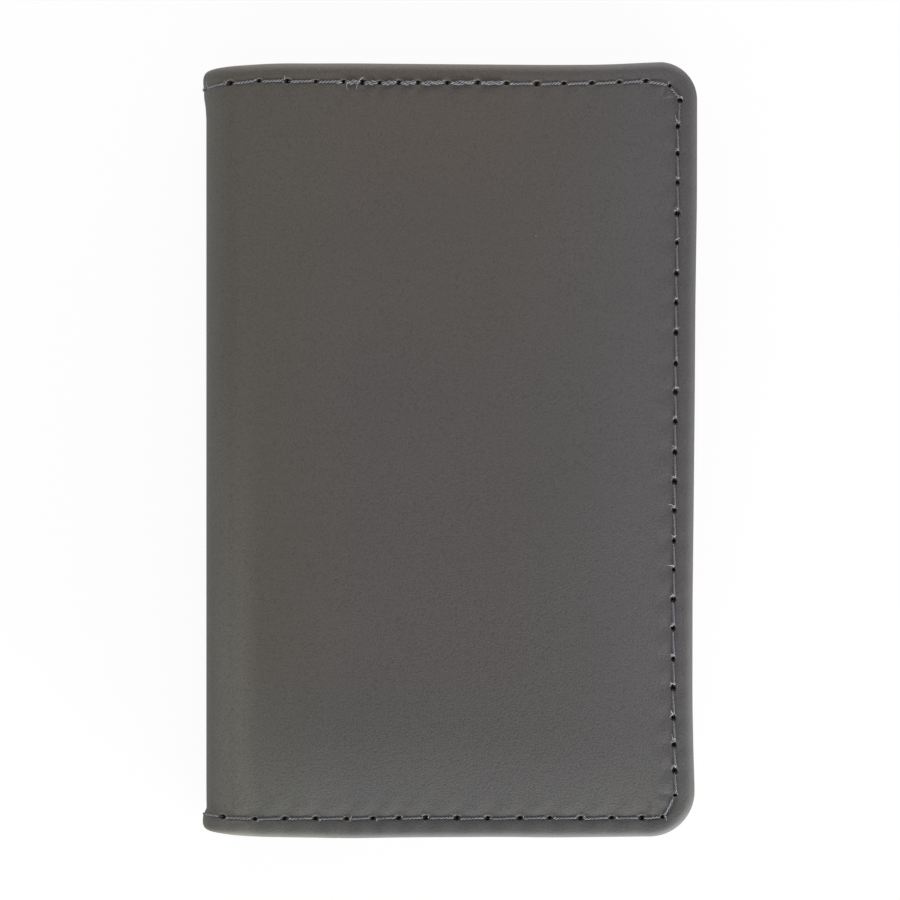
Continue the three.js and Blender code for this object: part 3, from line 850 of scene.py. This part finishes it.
# Shader groups
def newGroup(name, outputs, **numbers):
    group = bpy.data.node_groups.new(name, "ShaderNodeTree")
    group.interface.new_socket("Vector", in_out="INPUT", socket_type="NodeSocketVector")
    for label, value in numbers.items():
        group.interface.new_socket(label, in_out="INPUT", socket_type="NodeSocketFloat").default_value = value
    for label in outputs:
        group.interface.new_socket(label, in_out="OUTPUT", socket_type="NodeSocketFloat")
    return group, group.nodes.new("NodeGroupInput"), group.nodes.new("NodeGroupOutput")


def useGroup(tree, group, **inputs):
    return addNode(tree, "ShaderNodeGroup", inputs, node_tree=group).outputs


def makeGrainGroup():  # fine pebbles of a coated leather
    group, enter, leave = newGroup("fineGrain", ("Height", "Tone"), Size=1.0)
    finer = mathNode(group, "DIVIDE", 1.0, enter.outputs["Size"])
    scaled = {0: enter.outputs["Vector"], "Scale": finer}
    vector = addNode(group, "ShaderNodeVectorMath", scaled, operation="SCALE").outputs[0]
    pebbles = {"Vector": vector, "Scale": 3.2, "Smoothness": 0.6}
    cells = addNode(group, "ShaderNodeTexVoronoi", pebbles, feature="SMOOTH_F1")
    fuzz = noiseNode(group, vector, 6.5, 3.0, 0.6)
    pebble = mathNode(group, "MULTIPLY_ADD", cells.outputs["Distance"], -0.9, 0.9)
    tone = mathNode(group, "MULTIPLY_ADD", fuzz, 0.6, mathNode(group, "MULTIPLY", pebble, 0.4))
    plugAll(group, leave, {"Height": mathNode(group, "MULTIPLY_ADD", fuzz, 0.5, pebble), "Tone": tone})
    return group


mottleSpans = {  # axis, where a mask is 0 and where it is 1; a mask with more than one span is their product
    "Open": [(0, 40.0, 60.0)], "Bend": [(0, 5.2, 2.4)], "Head": [(1, 8.0, 46.0)], "Tail": [(1, -27.0, -45.0)],
    # the last mask below is a painted highlight: the fold's lit shoulder, about 3 to 6 mm in, strongest towards
    # the tail
    "Fold": [(0, 22.0, 7.5), (0, 1.5, 6.0)], "PaintedShoulderLight": [(0, 2.8, 5.0), (0, 9.2, 6.2), (1, 14.0, -30.0)],
}
lint = {"scale": 0.24, "radius": 0.022, "bare": 0.6}  # the share of cells with no speck is bare


def makeMottleGroup():  # slow changes of tone, faint streaks along the hide, a few specks of lint, and region masks; one of them carries a painted highlight on the fold's shoulder
    group, enter, leave = newGroup("softMottle", ("Patch", "Streak", "Fleck", "Lint", *mottleSpans))
    vector = enter.outputs["Vector"]
    axes = separate(group, vector)
    for label, spans in mottleSpans.items():
        masks = [rangeMap(group, axes[axis], near, far, 0.0, 1.0) for axis, near, far in spans]
        mask = masks[0]
        for other in masks[1:]:
            mask = mathNode(group, "MULTIPLY", mask, other)
        plugAll(group, leave, {label: mask})
    specks = addNode(group, "ShaderNodeTexVoronoi", {"Vector": vector, "Scale": lint["scale"]})
    chance = addNode(group, "ShaderNodeSeparateColor", {0: specks.outputs["Color"]}).outputs[0]
    small = mathNode(group, "LESS_THAN", specks.outputs["Distance"], lint["radius"])
    plugAll(group, leave, {
        "Lint": mathNode(group, "MULTIPLY", small, mathNode(group, "GREATER_THAN", chance, lint["bare"])),
        "Patch": noiseNode(group, vector, 0.055, 3.0, 0.5),
        "Streak": noiseNode(group, stretched(group, vector, (0.05, 1.6, 1.0)), 1.0, 2.0, 0.6),
        "Fleck": noiseNode(group, vector, 1.4, 2.0, 0.65),
    })
    return group


def makeRubGroup():  # where an edge is rubbed, broken up by noise
    group, enter, leave = newGroup("edgeRub", ("Mask",), Edge=0.0)
    broken = noiseNode(group, enter.outputs["Vector"], 0.9, 4.0, 0.65)
    soft = mathNode(group, "MULTIPLY_ADD", broken, 1.6, -0.35)
    edges = {0: enter.outputs["Edge"], 1: soft}
    mask = addNode(group, "ShaderNodeMath", edges, operation="MULTIPLY", use_clamp=True)
    plugAll(group, leave, {"Mask": mask.outputs[0]})
    return group


def makeWeaveGroup():  # over and under threads of a plain weave
    group, enter, leave = newGroup("plainWeave", ("Height", "Tone"), Pitch=0.35)
    axes = separate(group, enter.outputs["Vector"])
    turn = mathNode(group, "DIVIDE", math.pi, enter.outputs["Pitch"])
    waves = [mathNode(group, "SINE", mathNode(group, "MULTIPLY", axes[axis], turn)) for axis in (0, 1)]
    crossing = mathNode(group, "MULTIPLY", *waves)
    ribs = mathNode(group, "ADD", *(mathNode(group, "ABSOLUTE", wave) for wave in waves))
    fuzz = noiseNode(group, enter.outputs["Vector"], 5.0, 2.0, 0.6)
    height = mathNode(group, "MULTIPLY_ADD", crossing, 0.5, mathNode(group, "MULTIPLY", ribs, 0.4))
    plugAll(group, leave, {"Height": height, "Tone": mathNode(group, "MULTIPLY_ADD", crossing, 0.25, fuzz)})
    return group


grainGroup, mottleGroup = makeGrainGroup(), makeMottleGroup()
rubGroup, weaveGroup = makeRubGroup(), makeWeaveGroup()


# Materials
def newMaterial(name):
    material = bpy.data.materials.new(name)
    material.use_nodes = True
    tree = material.node_tree
    return material, tree, tree.nodes["Principled BSDF"]


def bumpFrom(tree, height, strength, distance=0.1 * mm):
    inputs = {"Height": height, "Strength": strength, "Distance": distance}
    return addNode(tree, "ShaderNodeBump", inputs).outputs["Normal"]


outerLeather = {
    "colour": (0.0769, 0.0714, 0.069), "headTone": (0.0842, 0.0745, 0.067), "warm": (0.0846, 0.0777, 0.0678),
    # the first colour on the next line is a painted highlight for the fold's lit shoulder
    "paintedShoulderHighlight": (0.1122, 0.1066, 0.0945), "bend": (0.0804, 0.0787, 0.0715), "cool": (0.083, 0.079, 0.0795),
    # the last colour on the next line is painted light: the lower left by the fold made lighter and warmer, as if
    # lit from the low left
    "tailTone": (0.0755, 0.0736, 0.0728), "paintedLowLeftLight": (0.0925, 0.0915, 0.0835),
    # the first colour on the next line is painted shade, for the needle holes and the seam's valley
    # the second colour on the next line is a raw edge colour that also stands in for the lit side of each hole, a
    # painted highlight
    "paintedShade": (0.014, 0.014, 0.014), "rawEdgeAndHighlight": (0.19, 0.175, 0.14), "rubbed": (0.118, 0.113, 0.104),
    "lint": (0.19, 0.185, 0.16),
    "roughness": 0.8, "grainSize": 0.72, "grainBump": 0.34, "grainTone": 0.31,
}
pocketLeather = {
    "colour": (0.08, 0.0765, 0.073), "headTone": (0.081, 0.077, 0.073), "warm": (0.082, 0.078, 0.073),
    # the first colour on the next line is a painted highlight for the fold's lit shoulder
    "paintedShoulderHighlight": (0.086, 0.082, 0.077), "bend": (0.08, 0.0765, 0.073), "cool": (0.078, 0.0765, 0.0765),
    # the last colour on the next line is painted light on the lower left by the fold
    "tailTone": (0.079, 0.0765, 0.0745), "paintedLowLeftLight": (0.081, 0.0785, 0.075),
    # the first colour on the next line is painted shade, for the needle holes
    "paintedShade": (0.012, 0.011, 0.011), "rawEdgeAndHighlight": (0.12, 0.115, 0.105), "rubbed": (0.11, 0.107, 0.103),
    "lint": (0.15, 0.15, 0.14),
    "roughness": 0.82, "grainSize": 0.8, "grainBump": 0.4, "grainTone": 0.2,
}
# shares of each mark: real streaks, flecks, patches, wear and lint, and painted shade and highlight at the seam
leatherMarksAndPaintedLight = {
    "streak": 0.01, "fleck": 0.02, "patch": 0.015,  # how far each lightens and darkens
    "press": 0.11, "rubbed": 0.35, "lint": 0.7, "lip": 0.42,  # how much of each colour shows
    "grainRough": 0.1, "rubbedRough": -0.08, "specular": 0.18,
}


def leatherMaterial(name, finish):
    material, tree, shader = newMaterial(name)
    flat = attribute(tree, "flat", "Vector")
    grain = useGroup(tree, grainGroup, Vector=flat, Size=finish["grainSize"])
    mottle = useGroup(tree, mottleGroup, Vector=flat)
    rub = useGroup(tree, rubGroup, Vector=flat, Edge=attribute(tree, "rim"))["Mask"]
    tone = finish["colour"]
    # painted light: towards the fold, the tail region takes the lighter, warmer colour of a low light from the
    # left
    tail = mixColour(tree, mottle["Fold"], finish["tailTone"], finish["paintedLowLeftLight"])
    # the last place paints a highlight on the fold's lit shoulder
    for place, colour in (("Head", finish["headTone"]), ("Open", finish["cool"]), ("Fold", finish["warm"]),
                          ("Tail", tail), ("Bend", finish["bend"]), ("PaintedShoulderLight", finish["paintedShoulderHighlight"])):
        tone = mixColour(tree, mottle[place], tone, colour)
    shade = rangeMap(tree, grain["Tone"], 0.25, 0.85, 1 - finish["grainTone"], 1 + finish["grainTone"])
    for label in ("streak", "fleck", "patch"):
        amount = leatherMarksAndPaintedLight[label]
        change = rangeMap(tree, mottle[label.capitalize()], 0.3, 0.7, 1 - amount, 1 + amount)
        shade = mathNode(tree, "MULTIPLY", shade, change)
    tone = mixColour(tree, 1.0, tone, shade, "MULTIPLY")
    # painted shade along the seam and in the holes, real wear and lint, and a painted highlight on the holes' raw
    # edges
    for mask, share, colour in ((attribute(tree, "press"), leatherMarksAndPaintedLight["press"], "paintedShade"),
                                (rub, leatherMarksAndPaintedLight["rubbed"], "rubbed"),
                                (mottle["Lint"], leatherMarksAndPaintedLight["lint"], "lint"),
                                # the lip mask paints the raw edge colour, with a highlight, on the hole's lit side
                                (attribute(tree, "lip"), leatherMarksAndPaintedLight["lip"], "rawEdgeAndHighlight"),
                                (attribute(tree, "hole"), 1.0, "paintedShade")):
        tone = mixColour(tree, mathNode(tree, "MULTIPLY", mask, share), tone, finish[colour])
    grainRough = leatherMarksAndPaintedLight["grainRough"]
    rough = mathNode(tree, "MULTIPLY_ADD", grain["Tone"], grainRough, finish["roughness"] - grainRough / 2)
    plugAll(tree, shader, {
        "Base Color": tone,
        "Roughness": mathNode(tree, "MULTIPLY_ADD", rub, leatherMarksAndPaintedLight["rubbedRough"], rough),
        "Specular IOR Level": leatherMarksAndPaintedLight["specular"],
        "Normal": bumpFrom(tree, grain["Height"], finish["grainBump"]),
    })
    return material


threadFinish = {
    # the third colour is painted shade, on each ply's side between the plies
    "light": (0.236, 0.24, 0.275), "dark": (0.093, 0.095, 0.112), "groove": (0.025, 0.025, 0.03), "roughness": 0.6,
}
fluffFinish = {
    # the third colour is painted shade, under each loose fibre
    "light": (0.5, 0.5, 0.52), "dark": (0.34, 0.34, 0.36), "groove": (0.3, 0.3, 0.31), "roughness": 0.75,
}


def threadMaterial(name, finish):
    material, tree, shader = newMaterial(name)
    flow = attribute(tree, "flow", "Vector")
    strand = noiseNode(tree, stretched(tree, flow, (0.6, 2.6, 1.0)), 2.2, 3.0, 0.6)
    # painted shade on each ply's inner side and under each fibre
    outer = rangeMap(tree, separate(tree, flow)[2], 0.45, 0.9, 0.0, 1.0)
    tone = mixColour(tree, rangeMap(tree, strand, 0.38, 0.62, 0.0, 1.0), finish["dark"], finish["light"])
    rough = finish["roughness"]
    plugAll(tree, shader, {
        "Base Color": mixColour(tree, outer, finish["groove"], tone),
        "Roughness": rangeMap(tree, strand, 0.3, 0.7, rough + 0.08, rough - 0.08),
        "Normal": bumpFrom(tree, strand, 0.4, 0.05 * mm),
    })
    return material


liningFinish = {"colour": (0.03, 0.03, 0.034), "light": (0.05, 0.05, 0.055), "pitch": 0.36, "roughness": 0.82}


def liningMaterial():
    material, tree, shader = newMaterial("wovenLining")
    flat = attribute(tree, "flat", "Vector")
    weave = useGroup(tree, weaveGroup, Vector=flat, Pitch=liningFinish["pitch"])
    fleck = useGroup(tree, mottleGroup, Vector=flat)["Fleck"]
    raised = rangeMap(tree, weave["Tone"], 0.2, 0.8, 0.0, 1.0)
    tone = mixColour(tree, raised, liningFinish["colour"], liningFinish["light"])
    rough = liningFinish["roughness"]
    plugAll(tree, shader, {
        "Base Color": mixColour(tree, 1.0, tone, rangeMap(tree, fleck, 0.3, 0.7, 0.9, 1.1), "MULTIPLY"),
        "Roughness": rangeMap(tree, weave["Height"], 0.0, 1.0, rough + 0.06, rough - 0.06),
        "Sheen Weight": 0.04, "Specular IOR Level": 0.2,
        "Normal": bumpFrom(tree, weave["Height"], 0.5),
    })
    return material


filmFinish = {
    "dark": (0.46, 0.47, 0.49), "light": (0.56, 0.57, 0.59),
    "roughBy": "Streak", "roughness": (0.28, 0.42), "metallic": 1.0, "bump": 0.2,
}
boardFinish = {
    "dark": (0.22, 0.16, 0.1), "light": (0.32, 0.24, 0.16),
    "roughBy": "Fleck", "roughness": (0.85, 0.95), "metallic": 0.0, "bump": 0.3,
}


def fleckedMaterial(name, finish, ownPlace):  # ownPlace reads a CAD node's own places, in millimetres
    material, tree, shader = newMaterial(name)
    if ownPlace:
        place = addNode(tree, "ShaderNodeTexCoord", {}).outputs["Object"]
        place = stretched(tree, place, (1000.0, 1000.0, 1000.0))
    else:
        place = attribute(tree, "flat", "Vector")
    mottle = useGroup(tree, mottleGroup, Vector=place)
    plugAll(tree, shader, {
        "Base Color": mixColour(tree, mottle["Fleck"], finish["dark"], finish["light"]),
        "Roughness": rangeMap(tree, mottle[finish["roughBy"]], 0.3, 0.7, *finish["roughness"]),
        "Metallic": finish["metallic"],
        "Normal": bumpFrom(tree, mottle["Fleck"], finish["bump"]),
    })
    return material


skinMaterial = leatherMaterial("outerLeather", outerLeather)
pocketMaterial = leatherMaterial("pocketLeather", pocketLeather)
seamMaterial = threadMaterial("twistedThread", threadFinish)
fluffMaterial = threadMaterial("looseFibre", fluffFinish)
clothMaterial = liningMaterial()
foilMaterial = fleckedMaterial("shieldFilm", filmFinish, ownPlace=False)
print("materials made:", len(bpy.data.materials))


# Pieces
def finishPiece(piece, material):
    piece.data.materials.append(material)
    return piece


def bendOn(piece):  # bakes the piece's placement into its mesh
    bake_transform(piece)


for side, word in ((1, "front"), (-1, "back")):
    cover = word + "_cover"
    skin = finishPiece(makeSkin(side, "skin." + word), skinMaterial)
    bendOn(skin)
    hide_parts(*(word + "_" + part for part in ("skin", "turn_in_head", "turn_in_edge", "turn_in_tail")))
    if side > 0:
        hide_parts("spine_skin", "spine_turn_in_head", "spine_turn_in_tail")
    print("skin", word, len(skin.data.vertices), "points")

    outside = finishPiece(makeSeam(side, "faceSeam." + word, 30 + side), seamMaterial)
    bendOn(outside)
    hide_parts(word + "_face_thread")
    if side > 0:
        looseEnds = finishPiece(makeFluff(side, "fluff.front", 52), fluffMaterial)
        bendOn(looseEnds)
    inside = finishPiece(makeSeam(side, "insideSeam." + word, 40 + side, inside=True), seamMaterial)
    bendOn(inside)
    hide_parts(word + "_inside_thread")

    lining = finishPiece(makeSheet(side, "lining." + word, foldShape["liningDepth"], liningDepth),
                         clothMaterial)
    bendOn(lining)
    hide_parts(word + "_lining")
    film = finishPiece(makeSheet(side, "film." + word, foldShape["filmDepth"], filmDepth),
                       foilMaterial)
    bendOn(film)
    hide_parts(word + "_shield_film")
    if side > 0:
        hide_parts("spine_lining")
        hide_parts("spine_shield_film")

    sleeve = finishPiece(makePanel(side, "sleeve." + word, sleeveDepth, lambda y: sleeveMouth + 0 * y, coverRows),
                         pocketMaterial)
    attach(sleeve, cover)
    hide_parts(word + "_sleeve_panel")
    slotFront = finishPiece(makePanel(side, "slot." + word, slotDepth, lambda y: slotMouth + notchAt(y),
                                      pocket["notchRows"]), pocketMaterial)
    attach(slotFront, cover)
    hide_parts(word + "_slot_panel")
    hem = finishPiece(makeHem(side, "hem." + word), pocketMaterial)
    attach(hem, cover)
    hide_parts(*(word + "_slot_hem_" + end for end in ("head", "edge", "tail")))
    print("pockets", word, "made")

spineSeam = finishPiece(makeSpineStitches("spineSeam", 71), seamMaterial)
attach(spineSeam, "spine")
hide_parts("spine_face_thread_head", "spine_face_thread_tail",
            "spine_inside_thread_head", "spine_inside_thread_tail")
print("seams made")

board = fleckedMaterial("pressedBoard", boardFinish, ownPlace=True)
for word in ("front", "back"):
    node = bpy.data.objects[word + "_stiffener_board"]
    node.data.materials.clear()
    node.data.materials.append(board)


# Floor, light and camera
studio = {
    "floorSize": 6.0, "floorDrop": 0.00005, "floorColour": (0.82, 0.82, 0.82), "floorRough": 0.95,
    "floorGlow": 0.93,  # share of white where the floor is seen directly; the rest takes the shadow
    "ambient": 0.66,
    "lamps": {  # low soft panels all round, the strongest at the tail
        "tailPanel": {"place": (0.03, -0.5, 0.068), "size": (0.9, 0.1), "power": 6.8},
        "openPanel": {"place": (0.14, -0.18, 0.036), "size": (0.14, 0.05), "power": 0.67},
        "headPanel": {"place": (0.0, 0.5, 0.068), "size": (0.8, 0.1), "power": 4.7},
    },
    "cameraHeight": 0.8, "cameraShift": (-0.04 * mm, 0.155 * mm), "clip": (0.01, 20),
    "pixel": 0.13247 * mm, "imageWidth": 900, "sensor": 36.0,
}


def seenDirectly(tree):  # 1 for rays from the camera, also by a reflection or through a clear piece
    path = addNode(tree, "ShaderNodeLightPath", {}).outputs
    seen = mathNode(tree, "MAXIMUM", path["Is Camera Ray"], path["Is Glossy Ray"])
    return mathNode(tree, "MAXIMUM", seen, path["Is Transmission Ray"])


def makeFloor():
    half = studio["floorSize"] / 2
    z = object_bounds()[0][2] - studio["floorDrop"]
    mesh = bpy.data.meshes.new("floor")
    mesh.from_pydata([(-half, -half, z), (half, -half, z), (half, half, z), (-half, half, z)], [], [(0, 1, 2, 3)])
    floor = bpy.data.objects.new("floor", mesh)
    bpy.context.scene.collection.objects.link(floor)
    material, tree, shader = newMaterial("paleFloor")
    plugAll(tree, shader, {"Base Color": studio["floorColour"], "Roughness": studio["floorRough"]})
    glow = addNode(tree, "ShaderNodeEmission", {})
    share = mathNode(tree, "MULTIPLY", seenDirectly(tree), studio["floorGlow"])
    mixer = addNode(tree, "ShaderNodeMixShader", {0: share, 1: shader.outputs[0], 2: glow.outputs[0]})
    plugAll(tree, tree.nodes["Material Output"], {"Surface": mixer.outputs[0]})
    mesh.materials.append(material)


def makeWorld():
    world = bpy.data.worlds.new("studioRoom")
    world.use_nodes = True
    tree = world.node_tree
    strength = rangeMap(tree, seenDirectly(tree), 0.0, 1.0, studio["ambient"], 1.0)
    plugAll(tree, tree.nodes["Background"], {"Color": (1, 1, 1), "Strength": strength})
    bpy.context.scene.world = world


def makeLamp(name, spec):  # a panel that faces the middle of the floor
    lamp = bpy.data.lights.new(name, "AREA")
    lamp.shape = "RECTANGLE"
    lamp.size, lamp.size_y = spec["size"]
    lamp.energy = spec["power"]
    holder = bpy.data.objects.new(name, lamp)
    holder.location = spec["place"]
    x, y, z = spec["place"]
    holder.rotation_euler = (math.atan2(math.hypot(x, y), z), 0, math.atan2(-y, -x) - math.pi / 2)
    bpy.context.scene.collection.objects.link(holder)


makeFloor()
makeWorld()
for lampName, lampSpec in studio["lamps"].items():
    makeLamp(lampName, lampSpec)

camera = bpy.data.cameras.new("camera")
camera.sensor_width = studio["sensor"]
camera.lens = studio["sensor"] * studio["cameraHeight"] / (studio["pixel"] * studio["imageWidth"])
camera.clip_start, camera.clip_end = studio["clip"]
viewer = bpy.data.objects.new("camera", camera)
viewer.location = (*studio["cameraShift"], studio["cameraHeight"] + float(caseHigh[2]) * mm)
bpy.context.scene.collection.objects.link(viewer)
bpy.context.scene.camera = viewer
bpy.context.scene.view_settings.view_transform = "Standard"
print("studio ready, lens", round(camera.lens, 1))
